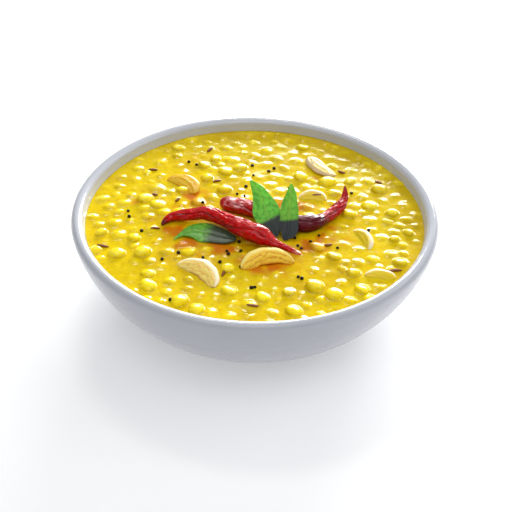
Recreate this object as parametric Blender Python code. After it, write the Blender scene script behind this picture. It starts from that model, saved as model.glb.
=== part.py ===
"""Dal tadka in its bowl: a glazed bowl on a foot ring, filled with dal up to just below the
lip, with two dried red chillies, three curry leaves and seven fried garlic slices on top.

Metres, +Z up. The origin is the centre of the foot ring, on the ground. Seen from the front
(-Y), +X is to the right. Tables are in millimetres and are scaled by MM."""

import math

import bpy
import numpy as np

MM = 0.001

# The bowl
RIM_RADIUS = 84.2 * MM
HEIGHT = 50.0 * MM
WALL = 5.3 * MM
BASE_SHARE = 0.44  # radius of the bowl's underside, as a share of the rim's
BELLY_LOW = 1.61  # how fast the belly swells near the underside
BELLY_HIGH = 1.92  # how upright the wall is near the lip
FOOT_RADIUS = 37.0 * MM
FOOT_WIDTH = 3.8 * MM
FOOT_TAPER = 0.4 * MM
FOOT_HEIGHT = 1.6 * MM
UNDERSIDE = 2.4 * MM
SEGMENTS = 60

# The dal
LEVEL = 44.2 * MM
SWELL = 0.45 * MM  # how far its lumpy surface rises and falls
GAP = 0.3 * MM  # between pieces that touch
TOP_RINGS = 8

# The garnish. Heights are above the dal's level.
# Chillies, from one end to the other: x, y, height, half width, half thickness
CHILLI_FRONT = (
    (-42.3, -10.1, 1.0, 0.6, 0.5),
    (-40.6, -7.4, 1.6, 1.5, 1.3),
    (-38.1, -5.4, 2.1, 2.1, 1.9),
    (-33.7, -4.9, 2.8, 2.7, 2.4),
    (-28.9, -5.0, 3.4, 2.9, 2.6),
    (-22.4, -5.3, 4.5, 3.4, 3.0),
    (-14.1, -9.9, 5.0, 3.5, 3.1),
    (-9.2, -14.1, 5.2, 4.1, 3.7),
    (-2.8, -19.2, 5.5, 4.8, 4.3),
    (2.4, -22.2, 5.3, 4.8, 4.3),
    (6.7, -25.0, 4.6, 3.1, 2.8),
    (9.8, -26.8, 4.0, 2.1, 1.9),
    (13.3, -28.6, 3.7, 1.6, 1.4),
    (17.3, -31.2, 3.5, 1.3, 1.1),
    (20.3, -32.8, 3.2, 0.7, 0.6),
)
CHILLI_BACK = (
    (-16.0, 6.4, 2.6, 1.8, 1.6),
    (-15.0, 6.0, 2.8, 3.0, 2.7),
    (-13.0, 5.1, 3.1, 3.8, 3.3),
    (-9.8, 3.4, 3.4, 4.1, 3.6),
    (-5.5, 2.0, 3.5, 4.2, 3.7),
    (-1.9, 0.5, 3.5, 3.9, 3.5),
    (9.2, -4.1, 3.1, 3.8, 3.4),
    (19.7, -9.6, 3.3, 4.0, 3.6),
    (23.9, -9.7, 3.3, 4.1, 3.6),
    (28.1, -8.1, 3.1, 3.7, 3.3),
    (31.8, -4.7, 2.7, 2.8, 2.5),
    (35.5, -0.8, 2.7, 2.7, 2.4),
    (39.3, 4.3, 3.2, 2.8, 2.5),
    (41.6, 8.9, 4.2, 1.9, 1.7),
    (42.2, 11.7, 6.0, 1.3, 1.2),
    (42.0, 13.7, 8.6, 0.4, 0.4),
)
# Curry leaves, from the stalk or the tip: x, y, height, half width
LEAF_LEFT = (
    (-35.8, -20.6, 0.9, 0.3),
    (-32.8, -17.5, 1.2, 1.3),
    (-29.6, -15.9, 1.6, 3.6),
    (-26.0, -15.4, 1.7, 5.3),
    (-21.9, -16.2, 1.7, 6.1),
    (-17.8, -17.5, 1.6, 5.5),
    (-12.8, -19.3, 1.4, 3.9),
    (-8.4, -20.4, 1.3, 1.4),
)
LEAF_MID = (
    (10.0, -17.6, 1.4, 0.9),
    (8.1, -14.1, 3.4, 4.4),
    (5.5, -9.1, 7.1, 6.2),
    (3.7, -4.4, 10.2, 5.0),
    (1.3, 0.3, 13.5, 3.1),
    (-2.7, 5.2, 16.4, 0.4),
)
LEAF_RIGHT = (
    (13.3, -19.6, 1.0, 0.8),
    (15.2, -15.9, 3.4, 4.1),
    (15.4, -10.6, 7.2, 4.2),
    (15.7, -5.7, 10.7, 3.7),
    (16.3, -1.4, 13.8, 2.3),
    (16.3, 2.8, 16.5, 0.3),
)
LEAF_HALF_THICKNESS = 0.4 * MM
LEAF_CUP = 0.10  # how far the edges curl up, as a share of the half width
# Garlic slices: place of the crescent's middle, length from tip to tip, bend from tip to tip,
# width, thickness, where it is widest (0 is the middle), tilt towards the front, heading
GARLIC = {
    "garlic_back_left": ((-33.7, 25.8, 1.0), 17.8, 108, 8.6, 3.2, 0.15, 12, -41),
    "garlic_front_left": ((-21.9, -42.2, 1.2), 21.8, 107, 8.8, 3.6, 0.0, 17, -41),
    "garlic_front_mid": ((5.4, -33.9, 2.8), 23.2, 98, 7.8, 4.6, -0.25, 32, 13),
    "garlic_back_right": ((31.5, 41.0, 1.1), 21.0, 52, 7.8, 3.2, 0.42, -6, 125),
    "garlic_right": ((49.8, -16.0, 0.2), 15.8, 99, 6.4, 3.0, 0.0, 28, -68),
    "garlic_mid_right": ((27.4, 16.6, 0.5), 12.6, 96, 7.0, 3.4, 0.1, 24, -5),
    "garlic_front_right": ((54.4, -42.8, 0.2), 13.6, 36, 6.2, 4.0, 0.0, 28, -5),
}


def finish(name, colour, roughness):
    """A Principled BSDF with one colour."""
    material = bpy.data.materials.new(name)
    material.use_nodes = True
    shader = material.node_tree.nodes["Principled BSDF"]
    shader.inputs["Base Color"].default_value = (*colour, 1.0)
    shader.inputs["Roughness"].default_value = roughness
    return material


def skin(name, rings, start, end, material=None):
    """A closed object: a skin over rings of points, drawn in to one point at each end."""
    count, sides, _ = rings.shape
    points = np.vstack([start, rings.reshape(-1, 3), end])
    first = 1 + np.arange(sides)
    following = 1 + (np.arange(sides) + 1) % sides
    faces = [(0, b, a) for a, b in zip(first, following)]
    for ring in range(count - 1):
        low, high = ring * sides, (ring + 1) * sides
        faces += [(a + low, b + low, b + high, a + high) for a, b in zip(first, following)]
    last = (count - 1) * sides
    faces += [(a + last, b + last, len(points) - 1) for a, b in zip(first, following)]
    mesh = bpy.data.meshes.new(name)
    mesh.from_pydata(points.tolist(), [], [tuple(map(int, face)) for face in faces])
    mesh.shade_smooth()
    if material:
        mesh.materials.append(material)
    piece = bpy.data.objects.new(name, mesh)
    bpy.context.scene.collection.objects.link(piece)
    return piece


def turned(name, profile, material):
    """A body of revolution. The profile runs from the axis round to the axis again."""
    radius, height = np.array(profile).T
    angle = np.linspace(0, 2 * math.pi, SEGMENTS, endpoint=False)
    rings = np.stack(
        [
            radius[1:-1, None] * np.cos(angle),
            radius[1:-1, None] * np.sin(angle),
            np.repeat(height[1:-1, None], SEGMENTS, 1),
        ],
        axis=2,
    )
    return skin(name, rings, (0, 0, height[0]), (0, 0, height[-1]), material)


def smooth_through(table, count):
    """A table of rows read at count places along a Catmull-Rom curve through them."""
    rows = np.array(table)
    rows = np.vstack([2 * rows[0] - rows[1], rows, 2 * rows[-1] - rows[-2]])
    place = np.linspace(0, len(table) - 1, count)
    index = np.minimum(place.astype(int), len(table) - 2)
    t = (place - index)[:, None]
    a, b, c, d = (rows[index + step] for step in range(4))
    bend = (2 * a - 5 * b + 4 * c - d) * t**2 + (3 * (b - c) + d - a) * t**3
    return b + 0.5 * ((c - a) * t + bend)


def swept(name, spine, across, half_width, half_height, sides, material=None, cup=0.0):
    """An oval section carried along a spine. across says which way the width points, and cup
    lifts the section's edges by the square of how far out they are."""
    along = np.gradient(spine, axis=0)
    along /= np.linalg.norm(along, axis=1)[:, None]
    across = across - (across * along).sum(1)[:, None] * along
    across /= np.linalg.norm(across, axis=1)[:, None]
    normal = np.cross(across, along)
    angle = np.linspace(0, 2 * math.pi, sides, endpoint=False)
    out = half_width[:, None] * np.cos(angle)
    up = half_height[:, None] * np.sin(angle) + cup * half_width[:, None] * np.cos(angle) ** 2
    rings = spine[:, None] + out[..., None] * across[:, None] - up[..., None] * normal[:, None]
    start = spine[0] - along[0] * half_height[0]
    end = spine[-1] + along[-1] * half_height[-1]
    return skin(name, rings, start, end, material)


def chilli(name, table, material, grow=0.0):
    """A dried chilli: a flattened tube whose width changes along it."""
    rows = smooth_through(table, 23) * MM
    spine = rows[:, :3] + (0, 0, LEVEL)
    across = np.cross((0, 0, 1), np.gradient(spine, axis=0))
    sides = 10
    return swept(name, spine, across, rows[:, 3] + grow, rows[:, 4] + grow, sides, material)


def leaf(name, table, across, material, grow=0.0):
    """A curry leaf: a thin pointed blade with its edges curled up."""
    rows = smooth_through(table, 11) * MM
    spine = rows[:, :3] + (0, 0, LEVEL)
    width = rows[:, 3] + grow
    thickness = np.full(len(rows), LEAF_HALF_THICKNESS + grow)
    across = np.tile(across, (len(rows), 1))
    sides = 10
    return swept(name, spine, across, width, thickness, sides, material, LEAF_CUP)


def garlic(name, place, length, bend, width, thickness, widest, tilt, heading, material=None, grow=0.0):
    """A fried garlic slice: a crescent that tapers to both ends. It bends about -Y of its own
    frame, and is then tilted and turned into place."""
    stations = np.linspace(-0.97, 0.97, 13)
    half_bend = math.radians(bend) / 2
    radius = length / (2 * math.sin(half_bend))
    angle = stations * half_bend
    out = np.stack([np.sin(angle), np.cos(angle), 0 * angle], axis=1)
    spine = (radius * out - (0, radius, 0)) * MM
    from_widest = (stations - widest) / (1 - widest * np.sign(stations - widest))
    taper = (1 - np.abs(from_widest) ** 2.4) ** 0.6
    half_width = width / 2 * taper * MM + grow
    half_height = thickness / 2 * taper**0.8 * MM + grow
    piece = swept(name, spine, out, half_width, half_height, 8, material)
    piece.location = (place[0] * MM, place[1] * MM, place[2] * MM + LEVEL)
    piece.rotation_euler = (math.radians(tilt), 0, math.radians(heading))
    return piece


def belly(heights):
    """The bowl's outer radius at these shares of its height."""
    swell = (1 - (1 - heights) ** BELLY_LOW) ** (1 / BELLY_HIGH)
    return RIM_RADIUS * (BASE_SHARE + (1 - BASE_SHARE) * swell)


def wall_curve(offset):
    """The outer wall's curve, from the belly up to the lip, moved in along its normal."""
    lip_share = 1 - WALL / 2 / HEIGHT
    heights = 0.05 + (lip_share - 0.05) * np.sin(np.linspace(0, math.pi / 2, 9)) ** 1.3
    curve = np.stack([belly(heights), heights * HEIGHT], axis=1)
    run, rise = np.gradient(curve, axis=0).T
    inward = np.stack([-rise, run], axis=1) / np.hypot(run, rise)[:, None]
    inward[-1] = (-1, 0)
    return curve + offset * inward


def bowl(material):
    outer = wall_curve(0)
    inner = wall_curve(WALL)
    lip_angle = np.linspace(0, math.pi, 7)[1:-1]
    centre_radius, centre_height = (outer[-1] + inner[-1]) / 2
    lip = np.stack(
        [
            centre_radius + WALL / 2 * np.cos(lip_angle),
            centre_height + WALL / 2 * np.sin(lip_angle),
        ],
        axis=1,
    )
    foot = (
        (0, UNDERSIDE),
        (FOOT_RADIUS - FOOT_WIDTH - FOOT_TAPER, FOOT_HEIGHT),
        (FOOT_RADIUS - FOOT_WIDTH, 0),
        (FOOT_RADIUS - FOOT_TAPER, 0),
        (FOOT_RADIUS, FOOT_HEIGHT),
    )
    floor = ((0, inner[0, 1] - WALL / 10),)
    return turned("bowl", np.vstack([foot, outer, lip, inner[::-1], floor]), material)


def surface_lift(x, y):
    """How far the dal's surface stands above its level: slow waves that cross one another."""
    wave = np.sin(x / (9 * MM) + 1.3 * np.sin(y / (13 * MM)))
    cross_wave = np.sin(y / (8 * MM) + 0.9 * np.sin(x / (11 * MM)))
    return SWELL * (0.6 * wave + 0.4 * cross_wave)


def dal(material):
    side = wall_curve(WALL + GAP)
    reach = np.interp(LEVEL, side[:, 1], side[:, 0])
    side = np.vstack([side[side[:, 1] < LEVEL - GAP], (reach, LEVEL)])
    top_radius = reach * np.linspace(1, 0, TOP_RINGS + 1)[1:]
    top = np.stack([top_radius, np.full(TOP_RINGS, LEVEL)], axis=1)
    bottom = ((0, side[0, 1]),)
    body = turned("dal", np.vstack([bottom, side, top]), material)
    points = np.array([vertex.co for vertex in body.data.vertices])
    x, y, height = points.T
    on_top = (height > LEVEL - GAP / 2) & (np.hypot(x, y) < 0.99 * reach)
    points[:, 2] += np.where(on_top, surface_lift(x, y), 0)
    body.data.vertices.foreach_set("co", points.ravel())
    return body


def cut(body, cutter):
    """Takes the cutter's shape out of the body, and keeps the cutter out of the render."""
    cutter.hide_render = True
    cutter.display_type = "WIRE"
    difference = body.modifiers.new(cutter.name, "BOOLEAN")
    difference.operation = "DIFFERENCE"
    difference.solver = "EXACT"
    difference.object = cutter


for leftover in list(bpy.data.objects):
    bpy.data.objects.remove(leftover)

GLAZE = finish("bowl_glaze", (0.86, 0.87, 0.88), 0.18)
DAL = finish("dal", (0.84, 0.60, 0.02), 0.30)
CHILLI = finish("dried_chilli", (0.42, 0.02, 0.03), 0.32)
LEAF = finish("curry_leaf", (0.10, 0.32, 0.07), 0.35)
FRIED_GARLIC = finish("fried_garlic", (0.86, 0.58, 0.22), 0.40)

LYING = (0, math.cos(math.radians(7)), math.sin(math.radians(7)))
FACING_FRONT = (-1, 0, 0)

bowl(GLAZE)
body_of_dal = dal(DAL)

for chilli_name, chilli_table in (("chilli_front", CHILLI_FRONT), ("chilli_back", CHILLI_BACK)):
    chilli(chilli_name, chilli_table, CHILLI)
    cut(body_of_dal, chilli(chilli_name + "_bed", chilli_table, None, GAP))

for leaf_name, leaf_table, leaf_across in (
    ("leaf_left", LEAF_LEFT, LYING),
    ("leaf_mid", LEAF_MID, FACING_FRONT),
    ("leaf_right", LEAF_RIGHT, FACING_FRONT),
):
    leaf(leaf_name, leaf_table, leaf_across, LEAF)
    cut(body_of_dal, leaf(leaf_name + "_bed", leaf_table, leaf_across, None, GAP))

for garlic_name, garlic_sizes in GARLIC.items():
    garlic(garlic_name, *garlic_sizes, FRIED_GARLIC)
    cut(body_of_dal, garlic(garlic_name + "_bed", *garlic_sizes, None, GAP))
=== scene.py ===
import math

import bpy
import numpy as np
from mathutils import Matrix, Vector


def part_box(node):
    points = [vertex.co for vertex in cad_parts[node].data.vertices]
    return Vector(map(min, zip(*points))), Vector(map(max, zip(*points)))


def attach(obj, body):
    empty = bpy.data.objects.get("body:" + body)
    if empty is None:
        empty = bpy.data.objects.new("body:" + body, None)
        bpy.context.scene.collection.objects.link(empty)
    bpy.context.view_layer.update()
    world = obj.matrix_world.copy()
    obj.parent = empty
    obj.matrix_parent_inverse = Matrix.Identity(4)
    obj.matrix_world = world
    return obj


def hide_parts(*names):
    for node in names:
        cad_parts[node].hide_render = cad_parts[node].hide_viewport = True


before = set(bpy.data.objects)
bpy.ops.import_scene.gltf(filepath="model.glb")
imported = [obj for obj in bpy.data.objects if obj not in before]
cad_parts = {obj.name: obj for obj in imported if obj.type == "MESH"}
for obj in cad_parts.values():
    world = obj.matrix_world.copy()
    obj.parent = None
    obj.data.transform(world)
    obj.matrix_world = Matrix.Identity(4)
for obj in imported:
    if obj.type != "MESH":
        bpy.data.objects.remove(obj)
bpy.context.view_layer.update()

# ---- Light and view ----
# The bowl stands in soft daylight: a wide low window behind it, a weaker one at its right, a
# pale ceiling, a small lamp high behind it and a broad soft fill from the front. The camera
# looks down on the bowl's front.
CAMERA_PLACE = (0.0009, -0.3609, 0.2981)
CAMERA_DOWN = math.radians(37.56)
CAMERA_ROLL = math.radians(1.295)
CAMERA_LENS = 66.7
DAYLIGHT = (0.90, 0.94, 1.0, 1.0)
DAYLIGHT_STRENGTH = 0.27
# Name, degrees above the horizon, degrees to the right of straight behind the bowl, how far
# away, width, height, power, colour
LAMPS = (
    ("window", 17.5, 14, 1.6, 1.0, 0.4, 38.0, (1.0, 0.99, 0.97)),
    ("side_window", 38, 82, 1.6, 1.2, 0.7, 6.0, (0.97, 0.98, 1.0)),
    ("lamp", 60, -12, 1.6, 0.36, 0.22, 4.0, (1.0, 0.98, 0.95)),
    ("front_fill", 62, 186, 1.6, 1.2, 1.2, 5.8, (1.0, 0.99, 0.96)),
    ("ceiling", 88, 0, 1.5, 2.4, 2.4, 9.0, (0.97, 0.98, 1.0)),
)

scene = bpy.context.scene
scene.view_settings.view_transform = "Standard"

camera = bpy.data.objects.new("camera", bpy.data.cameras.new("camera"))
camera.data.sensor_width = 36
camera.data.lens = CAMERA_LENS
camera.data.clip_start = 0.01
camera.matrix_world = (
    Matrix.Translation(CAMERA_PLACE)
    @ Matrix.Rotation(math.pi / 2 - CAMERA_DOWN, 4, "X")
    @ Matrix.Rotation(CAMERA_ROLL, 4, "Z")
)
scene.collection.objects.link(camera)
scene.camera = camera

for lamp_name, up, side, away, lamp_width, lamp_height, power, colour in LAMPS:
    lamp = bpy.data.objects.new(lamp_name, bpy.data.lights.new(lamp_name, "AREA"))
    turned_to = (
        Matrix.Rotation(-math.radians(side), 4, "Z")
        @ Matrix.Rotation(math.radians(up) - math.pi / 2, 4, "X")
    )
    lamp.matrix_world = turned_to @ Matrix.Translation((0, 0, away))
    lamp.data.shape = "RECTANGLE"
    lamp.data.size = lamp_width
    lamp.data.size_y = lamp_height
    lamp.data.energy = power
    lamp.data.color = colour
    scene.collection.objects.link(lamp)

scene.world = bpy.data.worlds.new("surroundings")
scene.world.use_nodes = True
surroundings = scene.world.node_tree.nodes["Background"]
surroundings.inputs["Color"].default_value = DAYLIGHT
surroundings.inputs["Strength"].default_value = DAYLIGHT_STRENGTH


# ---- Floor ----
# A plain pale matt table top, far wider than the bowl, at the height of the bowl's foot. It
# gives off a little light of its own, so that it stays nearly white round the bowl's shadow.
TABLE_RADIUS = 2.5


def paint(red, green, blue):
    """An sRGB colour, each part from 0 to 255, as the linear colour that a node takes."""
    share = np.array([red, green, blue]) / 255
    linear = np.where(share > 0.04045, ((share + 0.055) / 1.055) ** 2.4, share / 12.92)
    return (*linear.tolist(), 1.0)


class Value:
    """An output of a node. Arithmetic on it adds Math nodes."""

    def __init__(self, finish, socket):
        self.finish = finish
        self.socket = socket

    def math(self, operation, *operands):
        settings = {"operation": operation}
        return self.finish.add("ShaderNodeMath", settings, dict(enumerate(operands)))

    def __add__(self, other):
        return self.math("ADD", self, other)

    def __sub__(self, other):
        return self.math("SUBTRACT", self, other)

    def __rsub__(self, other):
        return self.math("SUBTRACT", other, self)

    def __mul__(self, other):
        return self.math("MULTIPLY", self, other)

    __radd__ = __add__
    __rmul__ = __mul__

    def rise(self, low, high):
        """0 below low and 1 above high, with a smooth step between; falls where low is higher."""
        settings = {"interpolation_type": "SMOOTHSTEP"}
        return self.finish.add("ShaderNodeMapRange", settings, {0: self, 1: low, 2: high})


class Finish:
    """A material, put together from nodes."""

    def __init__(self, name):
        self.material = bpy.data.materials.new(name)
        self.material.use_nodes = True
        self.material.node_tree.nodes.clear()

    def add(self, kind, settings=None, inputs=None, output=0):
        """Adds a node, applies its settings, fills its sockets with numbers, colours or other
        nodes' outputs, and gives one of its outputs."""
        node = self.material.node_tree.nodes.new(kind)
        for setting, value in (settings or {}).items():
            setattr(node, setting, value)
        for socket, value in (inputs or {}).items():
            if isinstance(value, Value):
                self.material.node_tree.links.new(value.socket, node.inputs[socket])
            else:
                node.inputs[socket].default_value = value
        return Value(self, node.outputs[output])

    def place(self, stretch=(1, 1, 1)):
        """Where a point is on the object, in millimetres, divided by stretch."""
        spot = self.add("ShaderNodeTexCoord", output="Object")
        scale = tuple(1000 / part for part in stretch)
        return self.add("ShaderNodeMapping", {}, {"Vector": spot, "Scale": scale})

    def mark(self, name, kind="Fac"):
        """A number, or a vector, that the mesh holds at each of its corners."""
        return self.add("ShaderNodeAttribute", {"attribute_name": name}, {}, kind)

    def part(self, spot, axis):
        """One coordinate of a place."""
        return self.add("ShaderNodeSeparateXYZ", {}, {0: spot}, axis)

    def stretch(self, spot, along):
        """A place whose patterns come out longer in X: along is less than 1."""
        return self.add("ShaderNodeMapping", {}, {"Vector": spot, "Scale": (along, 1, 1)})

    def noise(self, size, spot=None, detail=3.0, roughness=0.5):
        """Soft random patches from 0 to 1, about size millimetres across."""
        inputs = {
            "Vector": spot or self.place(),
            "Scale": 1 / size,
            "Detail": detail,
            "Roughness": roughness,
        }
        return self.add("ShaderNodeTexNoise", {}, inputs)

    def mix(self, share, first, second):
        """A colour between two, each of them another mix or an sRGB colour."""
        ends = (end if isinstance(end, Value) else paint(*end) for end in (first, second))
        inputs = dict(zip((0, 6, 7), (share, *ends)))
        return self.add("ShaderNodeMix", {"data_type": "RGBA"}, inputs, 2)

    def bump(self, height, depth):
        """A relief. height is 0 to 1 and depth is its depth in millimetres."""
        return self.add("ShaderNodeBump", {}, {"Height": height, "Distance": depth / 1000})

    def skin(self, sockets, beneath=None, share=0.0):
        """A Principled shader on the material's output, with another shader mixed in."""
        shader = self.add("ShaderNodeBsdfPrincipled", {}, sockets)
        if beneath:
            shader = self.add("ShaderNodeMixShader", {}, {0: share, 1: shader, 2: beneath})
        output = self.material.node_tree.nodes.new("ShaderNodeOutputMaterial")
        self.material.node_tree.links.new(shader.socket, output.inputs["Surface"])


bpy.ops.mesh.primitive_circle_add(vertices=96, radius=TABLE_RADIUS, fill_type="NGON")
floor = bpy.context.object
floor.name = "table_top"
matt = Finish("pale_table")
cloud = matt.noise(120.0)
matt.skin(
    {
        "Base Color": matt.mix(cloud, (212, 213, 214), (216, 216, 217)),
        "Roughness": 0.85,
        "Specular IOR Level": 0.2,
        "Emission Color": (1.0, 1.0, 1.0, 1.0),
        "Emission Strength": 0.33,
    }
)
floor.data.materials.append(matt.material)

# ---- Bowl ----
# A stoneware serving bowl in one piece: a round belly that steepens towards a rounded lip, on a
# low foot ring. It is wheel-thrown, glazed white all over and wiped bare under the foot. Its
# glaze is painted lighter inside, as painted light, and darker outside, as painted shade.
MM = 0.001
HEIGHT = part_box("bowl")[1].z / MM
RIM_RADIUS = 84.2
WALL = 5.3
LIP_CREST = 2.2  # how far in from the outer edge the lip is highest
BELLY_START = 0.05  # where the wall's curve begins, as a share of the height
BASE_SHARE = 0.44  # radius of the underside, as a share of the rim's
BELLY_LOW = 1.61  # how fast the belly swells near the underside
BELLY_HIGH = 1.92  # how upright the wall is near the lip
FOOT_RADIUS = 37.0
FOOT_WIDTH = 3.8
FOOT_HEIGHT = 1.6
UNDERSIDE = 2.4
TURNS = 288  # faces round the bowl


def belly(heights):
    """The outer radius at shares of the height: it swells by a power of the height, and the
    power falls towards the lip."""
    swell = (1 - (1 - heights) ** BELLY_LOW) ** (1 / BELLY_HIGH)
    return RIM_RADIUS * (BASE_SHARE + (1 - BASE_SHARE) * swell)


def wall_curve(offset, count):
    """The outer wall's curve, from the belly up to the lip, moved in along its normal. Its
    points lie closer together near the lip, as a power of a sine."""
    lip_share = 1 - WALL / 2 / HEIGHT
    rise_share = np.sin(np.linspace(0, math.pi / 2, count)) ** 1.3
    heights = BELLY_START + (lip_share - BELLY_START) * rise_share
    curve = np.stack([belly(heights), heights * HEIGHT], axis=1)
    run, rise = np.gradient(curve, axis=0).T
    inward = np.stack([-rise, run], axis=1) / np.hypot(run, rise)[:, None]
    inward[-1] = (-1, 0)
    return curve + offset * inward


def rings_skin(count, sides):
    """Faces over rings of points that are each closed, with a pole before the first ring and
    one after the last: four-sided between rings, and three-sided at the poles."""
    side = np.arange(sides)
    following = (side + 1) % sides
    ring = np.arange(count - 1)[:, None] * sides + 1
    strip = [ring + side, ring + following, ring + following + sides, ring + side + sides]
    last = (count - 1) * sides + 1
    start = np.stack([0 * side, 1 + following, 1 + side], axis=-1)
    end = np.stack([last + side, last + following, 0 * side + last + sides], axis=-1)
    return [np.stack(strip, axis=-1).reshape(-1, 4), np.vstack([start, end])]


def make_piece(name, corners, faces, finish, slot, stands_for=None, marks=None):
    """A smooth closed mesh from corners in millimetres and arrays of three- and four-sided
    faces. It may stand for a CAD node. marks holds numbers or vectors for each corner."""
    mesh = bpy.data.meshes.new(name)
    mesh.vertices.add(len(corners))
    mesh.vertices.foreach_set("co", (corners * MM).astype(np.float32).ravel())
    loops = np.concatenate([group.ravel() for group in faces]).astype(np.int32)
    totals = np.concatenate([np.full(len(group), group.shape[1]) for group in faces])
    mesh.loops.add(len(loops))
    mesh.loops.foreach_set("vertex_index", loops)
    mesh.polygons.add(len(totals))
    mesh.polygons.foreach_set("loop_start", (np.cumsum(totals) - totals).astype(np.int32))
    mesh.update(calc_edges=True)
    mesh.shade_smooth()
    for mark, numbers in (marks or {}).items():
        vector = numbers.ndim == 2
        layer = mesh.attributes.new(mark, "FLOAT_VECTOR" if vector else "FLOAT", "POINT")
        layer.data.foreach_set("vector" if vector else "value", numbers.astype(np.float32).ravel())
    mesh.materials.append(finish.material)
    piece = bpy.data.objects.new(name, mesh)
    scene.collection.objects.link(piece)
    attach(piece, "root")
    if stands_for:
        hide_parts(stands_for)


def around(sides):
    """The angles of the corners of a ring."""
    return np.linspace(0, 2 * math.pi, sides, endpoint=False)


def turned(profile):
    """A profile of radius and height, from the axis round to the axis again, carried round."""
    radius, height = np.array(profile).T
    angle = around(TURNS)
    x = radius[1:-1, None] * np.cos(angle)
    y = radius[1:-1, None] * np.sin(angle)
    z = np.repeat(height[1:-1, None], TURNS, axis=1)
    rings = np.stack([x, y, z], axis=2).reshape(-1, 3)
    return np.vstack([(0, 0, height[0]), rings, (0, 0, height[-1])])


# The profile goes from under the foot up the outside, over the lip and down the inside. The
# lip is two quarter ellipses that meet at its crest.
outer_wall = wall_curve(0, 64)
inner_wall = wall_curve(WALL, 64)
lip_angle = np.linspace(0, math.pi, 17)[1:-1]
lip_reach = np.where(lip_angle < math.pi / 2, LIP_CREST, WALL - LIP_CREST)
lip_out = outer_wall[-1, 0] - LIP_CREST + lip_reach * np.cos(lip_angle)
lip = np.stack([lip_out, outer_wall[-1, 1] + WALL / 2 * np.sin(lip_angle)], axis=1)
foot_inside = FOOT_RADIUS - FOOT_WIDTH
foot = (
    (0, UNDERSIDE), (foot_inside - 4.0, UNDERSIDE - 0.1), (foot_inside - 1.4, FOOT_HEIGHT + 0.3),
    (foot_inside - 0.4, FOOT_HEIGHT), (foot_inside - 0.1, 0.4), (foot_inside + 0.1, 0.1),
    (foot_inside + 0.4, 0), (FOOT_RADIUS - 0.8, 0), (FOOT_RADIUS - 0.5, 0.1),
    (FOOT_RADIUS - 0.3, 0.4), (FOOT_RADIUS - 0.1, FOOT_HEIGHT - 0.2),
    (FOOT_RADIUS, FOOT_HEIGHT + 0.2),
)
well = ((0, inner_wall[0, 1] - WALL / 10),)
bowl_profile = np.vstack([foot, outer_wall, lip, inner_wall[::-1], well])

# 0 outside, rising to 1 from the lip's crest to its inner edge: the share of the inside's
# painted-light white over the outside's painted-shade white
crest = len(foot) + len(outer_wall) + len(lip) // 2
past_crest = np.clip((np.arange(len(bowl_profile)) - crest) / (len(lip) / 2), 0, 1)
inside = np.concatenate([[0], np.repeat(past_crest[1:-1], TURNS), [1]])

glaze = Finish("white_glaze")
pooling = glaze.noise(16.0, detail=4.0)
bare_clay = glaze.part(glaze.place(), "Z").rise(0.55, 0.25)
# The outside's white is painted darker as shade, and the inside's lighter as painted light.
shaded_outer_white = glaze.mix(pooling, (178, 181, 188), (185, 187, 194))
lit_inner_white = glaze.mix(pooling, (200, 205, 216), (207, 211, 220))
white = glaze.mix(glaze.mark("inner"), shaded_outer_white, lit_inner_white)
throwing = glaze.noise(5.0, glaze.place((60, 60, 1.0)), detail=2.0)
orange_peel = glaze.noise(1.6, detail=1.0)
glaze.skin(
    {
        "Base Color": glaze.mix(bare_clay, white, (205, 196, 182)),
        "Roughness": glaze.noise(9.0) * 0.10 + bare_clay * 0.5 + 0.14,
        "Normal": glaze.bump(throwing * 0.9 + orange_peel * 0.1, 0.5),
    }
)
bowl_faces = rings_skin(len(bowl_profile) - 2, TURNS)
make_piece(
    "white_bowl", turned(bowl_profile), bowl_faces, glaze, "bowl_glaze", "bowl", {"inner": inside}
)

# ---- Gravy and lentils ----
# Split yellow lentils cooked until soft, in their own thick gravy, with chilli-red oil from the
# tempering spread in streaks. The gravy coats each lentil and climbs the bowl's wall a little.
LEVEL = 44.2
SWELL = 0.25  # how far the gravy's slow waves rise and fall
EDGE_CLIMB = 0.6
CLIMB_FROM = 76.0  # the radius where the gravy begins to climb
CLIMB_WIDTH = 3.5
LENTIL_SIZES = (2.3, 3.8, 5.6)  # half lengths: the smallest, usual and largest
LENTIL_TOPS = (-1.1, 0.2, 1.6)  # tops above the level: the lowest, usual and highest
BARE_FROM = 1.35  # a top this high stands out of the gravy
BARE_TOP = 0.18  # how far such a top is above the gravy's skin round it
FILM = 0.06  # how deep the gravy lies on the other lentils
CLOSENESS = 0.88  # how near two middles may be, as a share of their half lengths
DOME = 2.7  # the power that a bare lentil's outline follows: above 2, its top is flatter
FILLET = 0.9  # how softly the gravy runs up a lentil
TRIES = 9000  # how many lentils are dropped, most of which find no room
SPREAD = 75.5
NEAR_GRAVY = 5.0  # garnish lower than this above the level keeps lentils away
OUT_OF_GRAVY = 1.3  # how far above the gravy a lentil is as pale as it gets

# Oil streaks: x, y, radius, strength
OIL = (
    (-29, 16, 6.5, 0.9), (-27, 9, 5, 0.8), (-38, 6, 4, 0.4),
    (-36, -13, 6.5, 0.9), (-30, -23, 7, 0.9), (-15, -25, 8, 0.9), (-17, -14, 6, 0.8),
    (2, -40, 5, 0.9), (9, -38, 6, 1.0), (15, -35, 4, 0.7), (12, 10, 6, 0.9),
    (22, 8, 6, 0.8), (26, -22, 8, 0.9), (31, -17, 6, 0.7), (20, -28, 5, 0.6),
    (-57, 9, 4, 0.45), (-50, 15, 3, 0.4), (42, -18, 4, 0.4), (-5, -34, 5, 0.5),
    (34, -8, 5, 0.6), (28, 33, 4, 0.5), (48, 2, 4, 0.3), (-48, -4, 4, 0.4),
    (-22, -22, 24, 0.36), (12, -34, 18, 0.40), (26, -12, 16, 0.25), (-30, 10, 15, 0.25),
)
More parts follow.
